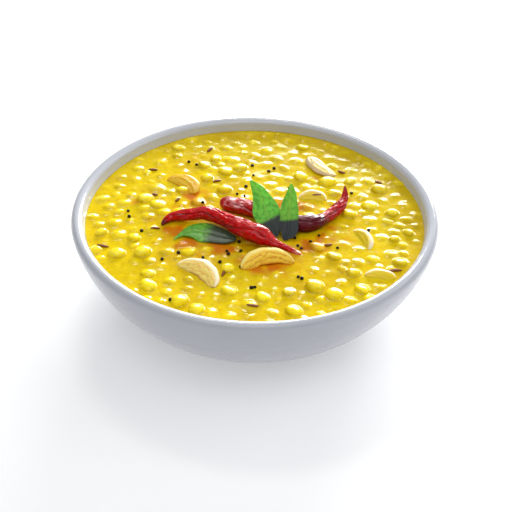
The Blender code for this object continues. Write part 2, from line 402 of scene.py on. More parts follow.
# Painted shade that the bowl's wall casts on the gravy, with less gloss there: x, y, radius,
# strength
WALL_SHADE = (
    (76, -6, 16, 0.45), (70, 24, 18, 0.4), (48, 56, 20, 0.4), (14, 74, 18, 0.35),
    (-20, 74, 16, 0.25), (66, -38, 10, 0.25), (8, 52, 16, 0.15), (-58, -46, 10, 0.2),
)
# Lentils that stand out of the rest: x, y, half length, how far the top is above the level
STANDING = (
    (-30, -62, 3.9, 2.3), (-23, -67, 3.4, 2.0), (17, -67, 3.7, 2.0), (-44, -53, 3.8, 2.4),
    (-45, -45, 3.0, 1.6), (-10, -55, 3.5, 1.8), (4, -59, 3.4, 1.6), (15, -55, 2.8, 1.5),
    (26, -51, 4.2, 2.6), (34, -56, 3.8, 2.4), (43, -41, 3.0, 1.9), (46, -52, 3.3, 1.6),
    (-60, -31, 3.5, 1.9), (-49, -30, 4.0, 2.6), (-29, -29, 3.7, 1.7), (-11, -40, 3.3, 2.0),
    (28, -23, 4.0, 1.9), (35, -30, 3.2, 1.8), (64, -33, 3.3, 1.7), (-69, -16, 2.8, 1.8),
    (-54, -19, 3.0, 1.5), (63, -16, 2.4, 1.6), (70, -11, 2.8, 1.6), (-52, 12, 4.0, 2.2),
    (-46, 7, 3.4, 2.0), (-27, 10, 3.6, 1.5), (44, 3, 3.6, 2.1), (54, 10, 3.8, 1.8),
    (64, 4, 3.0, 2.0), (-24, 31, 3.5, 2.0), (-15, 38, 3.7, 1.7), (-15, 21, 3.7, 2.1),
    (22, 34, 3.8, 2.1), (35, 30, 4.6, 2.3), (46, 31, 3.3, 1.7), (60, 24, 4.1, 2.2),
    (-8, 41, 3.6, 2.0), (-26, 43, 3.1, 1.5), (24, 62, 3.7, 1.5), (-35, 20, 2.8, 1.6),
)


def scatter(rng):
    """Lentils dropped one by one over the dal, each kept clear of the others and of the
    garnish. Each row is x, y, half length, half width, half height, heading, top above the
    level, the gravy on it, which is less than 0 where the top is bare, and its lean: how fast
    a bare lentil rises towards +x and towards +y."""
    placed = list(STANDING)
    garnish = [part for name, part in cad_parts.items() if name not in ("bowl", "dal")]
    taken = np.array([spot.co for part in garnish for spot in part.data.vertices]) / MM
    taken = taken[taken[:, 2] < LEVEL + NEAR_GRAVY]
    for _ in range(TRIES):
        reach = SPREAD * math.sqrt(rng.random())
        turn = 2 * math.pi * rng.random()
        x, y = reach * math.cos(turn), reach * math.sin(turn)
        size = rng.triangular(*LENTIL_SIZES)
        near = np.array(placed)
        clear = np.hypot(near[:, 0] - x, near[:, 1] - y) > CLOSENESS * (near[:, 2] + size)
        beside = np.hypot(taken[:, 0] - x, taken[:, 1] - y) > 0.7 * size + 1
        if clear.all() and beside.all():
            placed.append((x, y, size, rng.triangular(*LENTIL_TOPS)))
    x, y, size, top = np.array(placed).T
    width = size * rng.uniform(0.76, 1.0, len(size))
    height = np.maximum(size * rng.uniform(0.5, 0.64, len(size)), top - 0.2)
    heading = rng.uniform(0, math.pi, len(size))
    bare = (np.arange(len(size)) < len(STANDING)) | (top > BARE_FROM)
    film = np.where(bare, -BARE_TOP, FILM)
    lean_x = rng.normal(-0.05, 0.11, len(size)) * bare
    lean_y = rng.normal(-0.15, 0.07, len(size)) * bare
    return np.stack([x, y, size, width, height, heading, top, film, lean_x, lean_y], axis=1)


def ripples(x, y, wavelength, seed, count=14):
    """Waves of about one length in random directions, added up: a smooth uneven surface that
    rises and falls by about 1."""
    rng = np.random.default_rng(seed)
    total = np.zeros_like(x)
    for _ in range(count):
        turn, phase = rng.uniform(0, 2 * math.pi, 2)
        pace = 2 * math.pi / (wavelength * rng.uniform(0.7, 1.5))
        total += np.sin(pace * (x * math.cos(turn) + y * math.sin(turn)) + phase)
    return total * math.sqrt(2 / count) / 1.6


def gravy_level(x, y):
    """The gravy between the lentils: slow waves, small lumps of mash, and a climb at the wall."""
    wave = np.sin(x / 9 + 1.3 * np.sin(y / 13))
    cross_wave = np.sin(y / 8 + 0.9 * np.sin(x / 11))
    slow = SWELL * (0.6 * wave + 0.4 * cross_wave)
    mash = 0.06 * ripples(x, y, 8.0, 5) + 0.012 * ripples(x, y, 3.2, 6)
    from_wall = np.clip((np.hypot(x, y) - CLIMB_FROM) / CLIMB_WIDTH, 0, 1)
    return LEVEL + (slow + mash) * (1 - from_wall) + EDGE_CLIMB * from_wall**2


def dal_height(x, y):
    """The gravy's surface: the soft maximum of its level and of every lentil's dome, which is
    the logarithm of a sum of exponents. What a dome adds is nothing at its edge. A bare
    lentil's dome falls from its middle as a root of 1 less a power of the distance, and the
    others fall as a power of 1 less the distance squared, which is softer."""
    level = gravy_level(x, y)
    total = np.ones_like(x)
    for row in lentil_sizes:
        place_x, place_y, length, width, height, heading, top, film, lean_x, lean_y = row
        near = np.flatnonzero((np.abs(x - place_x) < length) & (np.abs(y - place_y) < length))
        dx, dy = x[near] - place_x, y[near] - place_y
        along = (dx * math.cos(heading) + dy * math.sin(heading)) / length
        across = (dy * math.cos(heading) - dx * math.sin(heading)) / width
        reach = np.hypot(along, across)
        if film < 0:
            share = np.clip(1 - reach**DOME, 0, 1) ** (1 / DOME)
        else:
            share = np.clip(1 - reach**2, 0, 1) ** 1.3
        foot = LEVEL + top + film - height + lean_x * dx + lean_y * dy - level[near]
        total[near] += np.exp((foot + height * share) / FILLET) - np.exp(foot / FILLET)
    return level + FILLET * np.log(total)


def patches(x, y, table, narrowing, unevenness, wavelength, seed):
    """Soft round patches at a table's places, each a bell curve of the distance and narrower
    in y, broken up by ripples."""
    share = np.zeros_like(x)
    for place_x, place_y, radius, strength in table:
        gap = np.hypot(x - place_x, narrowing * (y - place_y)) / radius
        share = np.maximum(share, strength * np.exp(-(gap**2)))
    return np.clip(share * (1 + unevenness * ripples(x, y, wavelength, seed)), 0, 1)


def dal_marks(corners):
    """For each corner, how far it is out of the gravy, how much oil is there, and how much painted
    shade of the wall lies on it."""
    x, y, z = corners.T
    return {
        "bare": np.clip((z - gravy_level(x, y)) / OUT_OF_GRAVY, 0, 1),
        "oil": patches(x, y, OIL, 1.2, 0.35, 7.0, 8),
        "wall_shade": patches(x, y, WALL_SHADE, 1.0, 0.3, 9.0, 9),
    }


def dal_finish(name, gravy, lentil, depth, wetness):
    """Glossy gravy over soft lentils: paler where a lentil is near the surface, amber in drifts
    and specks, darker and less glossy under the wall's painted shade, and orange where the oil has
    run. depth is how much light sinks in, and wetness how strong the gloss is in its broken wet
    patches."""
    dal = Finish(name)
    bare = dal.mark("bare")
    wall_shade = dal.mark("wall_shade")
    mottle = dal.noise(5.0, detail=4.0, roughness=0.6)
    drift = dal.noise(22.0, detail=2.0)
    speck = dal.noise(2.2, detail=4.0, roughness=0.65)
    film = dal.noise(1.5, detail=3.0)
    pulp = dal.noise(4.0, detail=2.0)
    wet = dal.noise(4.5, detail=1.0).rise(0.45, 0.57)
    stain = (dal.mark("oil") + (mottle - 0.5) * 0.35).rise(0.04, 0.90) * (1 - bare * 0.35)
    body = dal.mix((bare + (mottle - 0.5) * 0.8).rise(0.0, 0.8), gravy, lentil)
    body = dal.mix(drift.rise(0.42, 0.70) * 0.6, body, (200, 164, 6))
    body = dal.mix(speck.rise(0.50, 0.68) * 0.6 * (1 - bare * 0.6), body, (198, 158, 6))
    # Painted shade of the bowl's wall.
    body = dal.mix(wall_shade, body, (164, 136, 8))
    body = dal.mix(stain, body, (202, 112, 4))
    dal.skin(
        {
            "Base Color": body,
            "Roughness": film * 0.08 + 0.12,
            "Specular IOR Level": 0.14,
            "Coat Weight": wet * wetness * wall_shade.rise(0.36, 0.08),
            "Coat Roughness": 0.12,
            "Subsurface Weight": depth,
            "Subsurface Radius": (1.0, 0.7, 0.15),
            "Subsurface Scale": 0.0015,
            "Normal": dal.bump(film * 0.5 + pulp * 0.5, 0.22),
        }
    )
    return dal


def round_sheet(cells):
    """Corners of a square grid spread over a disc of radius 1, so that all cells keep one area:
    a corner goes out by its larger coordinate and round by the other's share of it."""
    line = np.linspace(-1, 1, cells + 1)
    a, b = np.meshgrid(line, line, indexing="ij")
    wide = np.abs(a) >= np.abs(b)
    safe_a = np.where(a == 0, 1, a)
    safe_b = np.where(b == 0, 1, b)
    radius = np.where(wide, a, b)
    turn = np.where(wide, math.pi / 4 * b / safe_a, math.pi / 2 - math.pi / 4 * a / safe_b)
    return (radius * np.cos(turn)).ravel(), (radius * np.sin(turn)).ravel()


lentil_sizes = scatter(np.random.default_rng(12))

# The gravy's top is a round sheet whose rim is just inside the glaze. Rings of points go down
# from it, clear of the wall, and a point closes them at the bottom.
CELLS = 276
EDGE_SUNK = 0.15
CLEAR_OF_WALL = 0.3
sheet_x, sheet_y = round_sheet(CELLS)
edge_radius = np.interp(LEVEL + EDGE_CLIMB, inner_wall[:, 1], inner_wall[:, 0]) + EDGE_SUNK
top_x, top_y = sheet_x * edge_radius, sheet_y * edge_radius
top_z = dal_height(top_x, top_y)
grid = np.arange((CELLS + 1) ** 2).reshape(CELLS + 1, CELLS + 1)
top_faces = np.stack(
    [grid[:-1, :-1], grid[1:, :-1], grid[1:, 1:], grid[:-1, 1:]], axis=-1
).reshape(-1, 4)
rim = np.concatenate([grid[:-1, 0], grid[-1, :-1], grid[:0:-1, -1], grid[0, :0:-1]])
side_heights = LEVEL * np.linspace(0.93, 0.03, 7)
side_radius = np.interp(side_heights, inner_wall[:, 1], inner_wall[:, 0]) - CLEAR_OF_WALL
side = np.stack(
    [
        side_radius[:, None] * sheet_x[rim],
        side_radius[:, None] * sheet_y[rim],
        np.repeat(np.maximum(side_heights, inner_wall[0, 1])[:, None], len(rim), axis=1),
    ],
    axis=2,
)
side_index = len(top_x) + np.arange(side.shape[0] * len(rim)).reshape(side.shape[0], len(rim))
loops_down = np.vstack([rim, side_index])
upper, lower = loops_down[:-1], loops_down[1:]
side_faces = np.stack(
    [upper, lower, np.roll(lower, -1, axis=1), np.roll(upper, -1, axis=1)], axis=-1
).reshape(-1, 4)
bottom = len(top_x) + side.shape[0] * len(rim)
bottom_faces = np.stack(
    [side_index[-1], np.full(len(rim), bottom), np.roll(side_index[-1], -1)], axis=-1
)
gravy_corners = np.vstack(
    [
        np.stack([top_x, top_y, top_z], axis=1),
        side.reshape(-1, 3),
        (0, 0, inner_wall[0, 1]),
    ]
)
make_piece(
    "gravy",
    gravy_corners,
    [top_faces, side_faces, bottom_faces],
    dal_finish("gravy", (224, 195, 6), (246, 221, 14), 0.5, 0.4),
    "dal",
    "dal",
    dal_marks(gravy_corners),
)


def joined(copies, rings, sides, order=-1):
    """Many closed skins of the same rings and sides as one mesh. order is 1 where rings_skin's
    faces already point outwards, and -1 where each has to be turned over."""
    first = np.arange(len(copies))[:, None, None] * copies.shape[1]
    groups = rings_skin(rings, sides)
    faces = [(first + group[:, ::order]).reshape(-1, group.shape[1]) for group in groups]
    return copies.reshape(-1, 3), faces


def lentils():
    """The bare lentils. Each is an ellipsoid with a squarish outline, whose sines and cosines
    are raised to a power below 1, with its own dents, which are waves round it, and sheared
    upwards by its lean. Only its dome shows."""
    rng = np.random.default_rng(3)
    rings, sides = 9, 20
    shown = lentil_sizes[lentil_sizes[:, 7] < 0]
    columns = (column[:, None, None] for column in shown.T)
    x, y, length, width, height, heading, top, _, lean_x, lean_y = columns
    polar = np.linspace(0, math.pi, rings + 2)[1:-1][None, :, None]
    turn = around(sides)
    phase = rng.uniform(0, 2 * math.pi, (3, len(shown), 1, 1))
    dent = 0.035 * np.sin(2 * turn + phase[0]) * np.sin(polar)
    dent = dent + 0.03 * np.sin(3 * turn + phase[1]) * np.sin(polar) ** 2
    across = np.sin(polar) ** (2 / DOME) * (1 + dent)
    rise = np.sign(np.cos(polar)) * np.abs(np.cos(polar)) ** (2 / DOME)
    local_x = length * across * np.cos(turn)
    local_y = width * across * np.sin(turn)
    local_z = height * rise * (1 + 0.02 * np.sin(2 * turn + phase[2]))
    world_x = x + local_x * np.cos(heading) - local_y * np.sin(heading)
    world_y = y + local_x * np.sin(heading) + local_y * np.cos(heading)
    world_z = LEVEL + top - height + local_z + lean_x * (world_x - x) + lean_y * (world_y - y)
    body = np.stack([world_x, world_y, world_z], axis=3).reshape(len(shown), -1, 3)
    centre = np.stack([x, y, LEVEL + top - height], axis=3).reshape(-1, 1, 3)
    lift = np.stack([0 * x, 0 * y, height], axis=3).reshape(-1, 1, 3)
    corners = np.concatenate([centre + lift, body, centre - lift], axis=1)
    return joined(corners, rings, sides)


lentil_corners, lentil_faces = lentils()
make_piece(
    "lentils",
    lentil_corners,
    lentil_faces,
    dal_finish("lentil", (242, 210, 10), (252, 228, 34), 0.0, 0.7),
    "dal",
    "dal",
    dal_marks(lentil_corners),
)

# ---- Chillies ----
# Two whole dried red chillies, fried until glossy. The thin skin has fallen in between its
# lengthwise folds. The front one lies over the back one's middle, whose thin end curls up.

# From one end to the other: x, y, height above the level, half width, half thickness
CHILLI_FRONT = (
    (-42.3, -10.1, 1.0, 0.6, 0.5), (-40.6, -7.4, 1.6, 1.5, 1.3), (-38.1, -5.4, 2.1, 2.1, 1.9),
    (-33.7, -4.9, 2.8, 2.7, 2.4), (-28.9, -5.0, 3.4, 2.9, 2.6), (-22.4, -5.3, 4.5, 3.4, 3.0),
    (-14.1, -9.9, 5.0, 3.5, 3.1), (-9.2, -14.1, 5.2, 4.1, 3.7), (-2.8, -19.2, 5.5, 4.8, 4.3),
    (2.4, -22.2, 5.3, 4.8, 4.3), (6.7, -25.0, 4.6, 3.1, 2.8), (9.8, -26.8, 4.0, 2.1, 1.9),
    (13.3, -28.6, 3.7, 1.6, 1.4), (17.3, -31.2, 3.5, 1.3, 1.1), (20.3, -32.8, 3.2, 0.7, 0.6),
)
CHILLI_BACK = (
    (-16.0, 6.4, 2.6, 1.8, 1.6), (-15.0, 6.0, 2.8, 3.0, 2.7), (-13.0, 5.1, 3.1, 3.8, 3.3),
    (-9.8, 3.4, 3.4, 4.1, 3.6), (-5.5, 2.0, 3.5, 4.2, 3.7), (-1.9, 0.5, 3.5, 3.9, 3.5),
    (9.2, -4.1, 3.1, 3.8, 3.4), (19.7, -9.6, 3.3, 4.0, 3.6), (23.9, -9.7, 3.3, 4.1, 3.6),
    (28.1, -8.1, 3.1, 3.7, 3.3), (31.8, -4.7, 2.7, 2.8, 2.5), (35.5, -0.8, 2.7, 2.7, 2.4),
    (39.3, 4.3, 3.2, 2.8, 2.5), (41.6, 8.9, 4.2, 1.9, 1.7), (42.2, 11.7, 6.0, 1.3, 1.2),
    (42.0, 13.7, 8.6, 0.4, 0.4),
)
CHILLI_FOLDS = 2.5  # half as many folds as there are round the skin
FOLD_DEPTH = 0.15  # this and the next three are shares of the half width
DENT_DEPTH = 0.06
WRINKLE_DEPTH = 0.036
CREASE_DEPTH = 0.030
PAST_ITS_END = 200  # a distance longer than either chilli
NO_PLUM = (PAST_ITS_END, 220)


def smooth_through(table, count):
    """A table of rows read at count places along a Catmull-Rom curve through them: a cubic
    between each two rows whose slope at a row is half the step from the row before to the row
    after."""
    rows = np.array(table)
    rows = np.vstack([2 * rows[0] - rows[1], rows, 2 * rows[-1] - rows[-2]])
    place = np.linspace(0, len(table) - 1, count)
    index = np.minimum(place.astype(int), len(table) - 2)
    t = (place - index)[:, None]
    a, b, c, d = (rows[index + step] for step in range(4))
    bend = (2 * a - 5 * b + 4 * c - d) * t**2 + (3 * (b - c) + d - a) * t**3
    return b + 0.5 * ((c - a) * t + bend)


def unit(vectors):
    """Vectors divided by their lengths."""
    return vectors / np.linalg.norm(vectors, axis=-1, keepdims=True)


def sweep(spine, across, out, up):
    """A skin carried along a spine. Each station's outline goes out along across, made square
    to the spine, and up along the normal of the two. Gives the corners, with a pole at each
    end, and each corner's place on the piece laid straight: along, out and up."""
    along = unit(np.gradient(spine, axis=0))
    across = unit(across - (across * along).sum(1)[:, None] * along)
    normal = np.cross(along, across)
    rings = spine[:, None] + out[..., None] * across[:, None] + up[..., None] * normal[:, None]
    poles = rings[[0, -1]].mean(axis=1) + along[[0, -1]] * [[-0.2], [0.2]]
    steps = np.linalg.norm(np.diff(spine, axis=0), axis=1)
    run = np.concatenate([[0], np.cumsum(steps)])
    straight = np.stack([np.repeat(run[:, None], out.shape[1], axis=1), out, up], axis=2)
    ends = np.array([(0, 0, 0), (run[-1], 0, 0)])
    corners = np.vstack([poles[:1], rings.reshape(-1, 3), poles[1:]])
    straight = np.vstack([ends[:1], straight.reshape(-1, 3), ends[1:]])
    return corners, straight


def laid_on_dal(table, stations):
    """A table read smoothly at many stations, the path of its places above the level, and the
    distance along that path."""
    rows = smooth_through(table, stations)
    spine = rows[:, :3] + (0, 0, LEVEL)
    run = np.cumsum(np.linalg.norm(np.gradient(spine, axis=0), axis=1))[:, None]
    return rows, spine, run


def chilli(name, table, finish, stands_for, phase):
    """A flattened tube. Its skin sinks in narrow folds that wander round it, in shallow dents,
    in fine wrinkles and in slanting creases: powers and products of sines of the angle round
    it and the distance along it."""
    stations, sides = 240, 72
    rows, spine, run = laid_on_dal(table, stations)
    across = np.cross((0, 0, 1), np.gradient(spine, axis=0))
    turn = around(sides)
    wander = 1.1 * np.sin(run / 8.5 + phase) + 0.5 * np.sin(run / 3.7 + 2 * phase)
    fold = (1 - np.abs(np.sin(CHILLI_FOLDS * turn + wander))) ** 4
    dent = np.sin(2 * turn + run / 5.3 + phase) * np.sin(run / 4.1 + 3 * phase)
    wrinkle = np.sin(7 * turn + 2 * wander) * np.sin(run / 1.1 + 2 * np.sin(3 * turn + phase))
    crease = np.sin(3 * turn - run / 2.1 + 2 * np.sin(run / 3.1 + phase))
    girth = 1 - FOLD_DEPTH * fold + DENT_DEPTH * dent
    girth = girth + WRINKLE_DEPTH * wrinkle + CREASE_DEPTH * crease
    out = rows[:, 3:4] * np.cos(turn) * girth
    up = rows[:, 4:5] * np.sin(turn) * girth
    corners, straight = sweep(spine, across, out, up)
    # How far each point lies down in a fold, which the finish darkens as painted shade.
    fold_shade = np.concatenate([[0], np.clip(fold - 0.35 * dent, 0, 1).ravel(), [0]])
    marks = {"straight": straight, "fold_shade": fold_shade}
    faces = rings_skin(stations, sides)
    make_piece(name, corners, faces, finish, "dried_chilli", stands_for, marks)


def chilli_finish(name, colours, plum_part, pale_end, dark_end, highlight_share):
    """Dried skin: red, darkened with painted shade in the folds and crumples, and plum between two
    distances along it. A hard gloss lies in broken streaks. It pales past pale_end, its first end
    is dark by the share dark_end, and near that end a pale painted highlight lies on its top, by
    the last share."""
    red, dark, plum = colours
    plum_from, plum_to = plum_part
    skin = Finish(name)
    straight = skin.mark("straight", "Vector")
    fold_shade = skin.mark("fold_shade")
    along = skin.part(straight, "X")
    above = skin.part(straight, "Z")
    streak = skin.noise(0.8, skin.stretch(straight, 0.25), detail=4.0, roughness=0.7)
    off_ridge = skin.noise(1.5, skin.stretch(straight, 0.5), detail=2.0) - 0.5
    crumple = off_ridge.math("ABSOLUTE", off_ridge).rise(0.0, 0.16)
    patch = skin.noise(4.5, straight, detail=2.0)
    ripe = along + (patch - 0.5) * 9.0
    plum_share = ripe.rise(plum_from - 2, plum_from + 3) * ripe.rise(plum_to + 3, plum_to - 2)
    colour = skin.mix(plum_share, red, plum)
    colour = skin.mix(streak.rise(0.35, 0.75) * 0.3, colour, dark)
    # Painted shade in the folds.
    colour = skin.mix(fold_shade.rise(0.15, 0.9) * 0.7, colour, dark)
    # Painted shade in the valleys of the crumples.
    colour = skin.mix((1 - crumple) * 0.35, colour, dark)
    # A pale painted highlight on the top of the skin near its first end.
    painted_highlight = along.rise(2.0, 4.0) * along.rise(15.0, 12.0) * above.rise(0.6, 1.8)
    colour = skin.mix(painted_highlight * streak.rise(0.42, 0.58) * highlight_share, colour, (240, 176, 176))
    colour = skin.mix(along.rise(5.0, 1.0) * dark_end, colour, (66, 14, 22))
    colour = skin.mix(along.rise(pale_end - 1.5, pale_end + 1.0) * 0.6, colour, (226, 150, 120))
    skin.skin(
        {
            "Base Color": colour,
            "Roughness": streak * 0.2 + 0.2,
            "IOR": 1.42,
            "Specular IOR Level": 0.12,
            "Coat Weight": streak.rise(0.48, 0.55),
            "Coat Roughness": 0.04,
            "Normal": skin.bump(streak * 0.4 + crumple * 0.5 + patch * 0.1, 0.34),
        }
    )
    return skin


RED_SKIN = chilli_finish(
    "red_chilli_skin", ((222, 8, 12), (96, 4, 10), (150, 12, 22)), NO_PLUM, 71, 0.8, 0.0
)
PLUM_SKIN = chilli_finish(
    "plum_chilli_skin",
    ((206, 16, 26), (74, 4, 16), (104, 12, 32)),
    (28, 52),
    PAST_ITS_END,
    0.0,
    0.8,
)
chilli("front_chilli", CHILLI_FRONT, RED_SKIN, "chilli_front", 0.6)
chilli("back_chilli", CHILLI_BACK, PLUM_SKIN, "chilli_back", 2.1)

# ---- Curry leaves ----
# Three fresh curry leaves, fried for a moment so that they shine. Each is a thin pointed blade,
# folded a little along its midrib. Two lean back over the back chilli; one lies in the gravy.

# From the stalk or the tip: x, y, height above the level, half width
LEAF_LEFT = (
    (-35.8, -20.6, 0.9, 0.3), (-32.8, -17.5, 1.2, 1.3), (-29.6, -15.9, 1.6, 3.6),
    (-26.0, -15.4, 1.7, 5.3), (-21.9, -16.2, 1.7, 6.1), (-17.8, -17.5, 1.6, 5.5),
    (-12.8, -19.3, 1.4, 3.9), (-8.4, -20.4, 1.3, 1.4),
)
LEAF_MID = (
    (10.0, -17.6, 1.4, 0.9), (8.1, -14.1, 3.4, 4.4), (5.5, -9.1, 7.1, 6.2),
    (3.7, -4.4, 10.2, 5.0), (1.3, 0.3, 13.5, 3.1), (-2.7, 5.2, 16.4, 0.4),
)
LEAF_RIGHT = (
    (13.3, -19.6, 1.0, 0.8), (15.2, -15.9, 3.4, 4.1), (15.4, -10.6, 7.2, 4.2),
    (15.7, -5.7, 10.7, 3.7), (16.3, -1.4, 13.8, 2.3), (16.3, 2.8, 16.5, 0.3),
)
LYING = (0, math.cos(math.radians(7)), math.sin(math.radians(7)))
FACING = (-1, 0, 0)
LEAF_HALF_THICKNESS = 0.2
LEAF_CUP = 0.15  # how far a standing leaf's edges curl up, as a share of the half width
LEAF_DROOP = -0.05  # the lying leaf's edges go down
VEIN_SPACING = 2.6


def leaf(name, table, across, finish, stands_for, cup):
    """A thin oval section carried along the midrib. Its edges curl up, or down where cup is
    below 0, by the square of how far out they are, it dips at the midrib by a bell curve, and
    side veins lift it in ridges that slant towards the tip."""
    stations, sides = 90, 56
    rows, spine, run = laid_on_dal(table, stations)
    turn = around(sides)
    edge_wave = 1 + 0.03 * np.sin(run / 1.9) * np.abs(np.cos(turn))
    out = rows[:, 3:4] * np.cos(turn) * edge_wave
    vein = np.cos((run - 0.9 * np.abs(out)) * 2 * math.pi / VEIN_SPACING) ** 6
    bend = cup * rows[:, 3:4] * np.cos(turn) ** 2 - 0.28 * np.exp(-((out / 0.5) ** 2))
    up = LEAF_HALF_THICKNESS * np.sin(turn) + bend + 0.05 * vein * np.clip(np.abs(out), 0, 1)
    corners, straight = sweep(spine, np.tile(across, (stations, 1)), out, up)
    faces = rings_skin(stations, sides)
    make_piece(name, corners, faces, finish, "curry_leaf", stands_for, {"straight": straight})


def leaf_finish(name, bright, shaded, shaded_from, shaded_to):
    """A waxy green blade with paler veins and light coming through it. From one distance along the
    midrib to the other it turns dark with painted shade, and so does the light coming through it."""
    blade = Finish(name)
    straight = blade.mark("straight", "Vector")
    along = blade.part(straight, "X")
    side = blade.part(straight, "Y")
    out = side.math("ABSOLUTE", side)
    pace = 2 * math.pi / VEIN_SPACING
    rib = out.rise(0.45, 0.1)
    vein_wave = out.math("COSINE", (along - out * 0.9) * pace)
    vein = vein_wave.rise(0.86, 1.0) * out.rise(0.0, 0.6)
    mottle = blade.noise(1.8, straight, detail=4.0, roughness=0.6)
    fleck = blade.noise(0.5, straight, detail=2.0)
    green = blade.mix(mottle.rise(0.42, 0.62), bright, blade.mix(0.65, bright, (44, 124, 40)))
    green = blade.mix((rib + vein * 0.5) * 0.55, green, (150, 190, 90))
    # Painted shade: the blade darkens from one distance along the midrib to the other.
    shade = (along + (mottle - 0.5) * 2.0 + side * 0.12).rise(shaded_from, shaded_to)
    colour = blade.mix(shade, green, blade.mix(fleck * 0.4, shaded, (64, 84, 78)))
    glow = blade.mix(shade, blade.mix(rib, (152, 232, 96), (210, 244, 130)), shaded)
    lit_through = blade.add("ShaderNodeBsdfTranslucent", {}, {"Color": glow})
    blade.skin(
        {
            "Base Color": colour,
            "Roughness": fleck * 0.16 + 0.10,
            "IOR": 1.38,
            "Normal": blade.bump(fleck * 0.2 + mottle * 0.8, 0.16),
        },
        lit_through,
        0.5,
    )
    return blade


# Leaf, shape, the way across it, green, green in painted shade, where the painted shade begins
# and ends, CAD node, cup
for side_name, table, across, bright, shaded, turns_dark, node, cup in (
    ("left", LEAF_LEFT, LYING, (142, 216, 78), (92, 110, 80), (14.0, 20.0), "leaf_left", LEAF_DROOP),
    ("middle", LEAF_MID, FACING, (146, 232, 92), (72, 84, 80), (9.5, 7.5), "leaf_mid", LEAF_CUP),
    ("right", LEAF_RIGHT, FACING, (152, 212, 80), (68, 74, 78), (10.5, 8.8), "leaf_right", LEAF_CUP),
):
    green = leaf_finish(side_name + "_leaf_green", bright, shaded, *turns_dark)
    leaf(side_name + "_leaf", table, across, green, node, cup)

# ---- Fried garlic ----
# Seven slices cut lengthwise from garlic cloves and fried: crescents with a thick round back,
# a thinner hollow edge and the clove's layers showing as lines. Some are toasted gold, some are
# still pale and clear, and those on the right have gravy over them.
LAYER_LINES = 3.0  # how many layers show across a slice


def garlic(name, sizes, finish, phase):
    """A crescent: an oval section carried along an arc, tapering to both tips by a power of
    the distance from the widest place. Its back is thicker than its hollow edge, its outline
    is a little uneven, and the layers lift its face in low ridges that follow the arc."""
    place, length, bend, width, thickness, widest, tilt, heading = sizes
    count, sides = 110, 48
    stations = np.linspace(-0.97, 0.97, count)
    half_bend = math.radians(bend) / 2
    radius = length / (2 * math.sin(half_bend))
    angle = stations * half_bend
    outward = np.stack([np.sin(angle), np.cos(angle), 0 * angle], axis=1)
    spine = radius * outward - (0, radius, 0)
    from_widest = (stations - widest) / (1 - widest * np.sign(stations - widest))
    taper = ((1 - np.abs(from_widest) ** 2.4) ** 0.6)[:, None]
    turn = around(sides)
    run = (angle * radius)[:, None]
    uneven = 1 + 0.035 * np.sin(run / 1.7 + phase) * np.cos(turn) + 0.03 * np.sin(run / 0.9 + 3)
    share = np.cos(turn)
    out = width / 2 * taper * share * uneven
    back = 0.74 + 0.26 * share
    layers = np.sin(share * math.pi * LAYER_LINES + 0.9 * np.sin(run / 3.1 + phase) + phase)
    ridge = 0.10 * layers * taper * np.clip(np.sin(turn), 0, 1)
    up = thickness / 2 * taper**0.8 * np.sin(turn) * back + ridge
    corners, straight = sweep(spine, outward, out, up)
    turned_round = Matrix.Rotation(math.radians(heading), 3, "Z")
    lay = np.array(turned_round @ Matrix.Rotation(math.radians(tilt), 3, "X"))
    corners = corners @ lay.T + np.array(place) + (0, 0, LEVEL)
    face = np.concatenate([[0], (share * np.ones_like(run)).ravel(), [0]])
    tip = np.concatenate([[1], np.repeat(1 - taper[:, 0], sides), [1]])
    marks = {"straight": straight, "layer": face, "tip": tip}
    faces = rings_skin(count, sides)
    make_piece(
        "fried_garlic_" + name, corners, faces, finish, "fried_garlic", "garlic_" + name, marks
    )


def garlic_finish(name, back, flesh, line, toasted, toast, coated=0.0, line_share=0.6):
    """Fried garlic, pale along its back, partly its paler outer flesh and partly a painted highlight
    on that raised edge, with the layers as thin lines on its face and toasted tips and edges. toast
    is how brown those are, coated is how much yellow gravy lies on the flesh, and line_share is how
    strong the lines are."""
    slice_of = Finish(name)
    straight = slice_of.mark("straight", "Vector")
    layer = slice_of.mark("layer")
    tip = slice_of.mark("tip")
    grain = slice_of.noise(0.8, slice_of.stretch(straight, 0.3), detail=4.0, roughness=0.6)
    cloud = slice_of.noise(3.5, straight, detail=2.0)
    wave = layer.math("SINE", (layer + (grain - 0.5) * 0.6 + (cloud - 0.5) * 1.3) * 10.0)
    lines = wave.rise(0.55, 1.0) * layer.rise(0.65, 0.35) * layer.rise(-0.95, -0.75)
    colour = slice_of.mix(cloud * 0.6, flesh, slice_of.mix(0.4, flesh, toasted))
    colour = slice_of.mix(lines * line_share, colour, line)
    # The pale back is partly its paler outer flesh and partly a painted highlight on that raised
    # edge.
    colour = slice_of.mix((layer + (grain - 0.5) * 0.35).rise(0.25, 0.72), colour, back)
    gravy = (cloud + (grain - 0.5) * 0.4).rise(0.30, 0.62) * layer.rise(0.72, 0.4) * coated
    colour = slice_of.mix(gravy, colour, (236, 208, 24))
    edge = layer.rise(-0.72, -0.98) * 0.6 + (tip + (cloud - 0.5) * 0.5).rise(0.55, 0.95)
    colour = slice_of.mix(edge * toast, colour, toasted)
    slice_of.skin(
        {
            "Base Color": colour,
            "Roughness": grain * 0.22 + 0.18,
            "Specular IOR Level": 0.32,
            "Subsurface Weight": 0.3,
            "Subsurface Radius": (1.0, 0.6, 0.3),
            "Subsurface Scale": 0.002,
            "Normal": slice_of.bump(grain * 0.5 + lines * 0.5, 0.28),
        }
    )
    return slice_of


